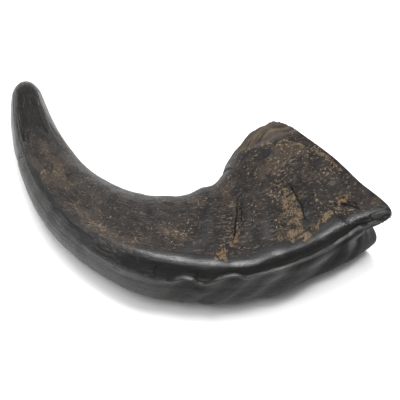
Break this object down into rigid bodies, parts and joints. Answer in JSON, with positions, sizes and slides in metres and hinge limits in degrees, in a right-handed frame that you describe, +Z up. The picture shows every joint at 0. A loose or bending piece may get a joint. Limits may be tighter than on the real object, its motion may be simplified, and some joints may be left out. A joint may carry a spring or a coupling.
{
  "type": "buffalo horn",
  "caption": "Whole dark water buffalo horn, curved in a crescent to a blunt tip, with a rolled fold along its outer side, sawn square and hollow at the base.",
  "frame": {"origin": "bottom centre of the bounding box, on the surface that the horn lies on", "axes": "+X the way the sawn base faces, +Y from the base toward the tip along the longest extent, +Z up as the horn lies on its side"},
  "size_m": [0.1492, 0.2802, 0.0657],
  "materials": {
    "horn": "dark keratin, half rubbed smooth, satin on the fold and dry and fibrous elsewhere"
  },
  "bodies": {
    "root": {"horn": "horn"}
  },
  "joints": []
}
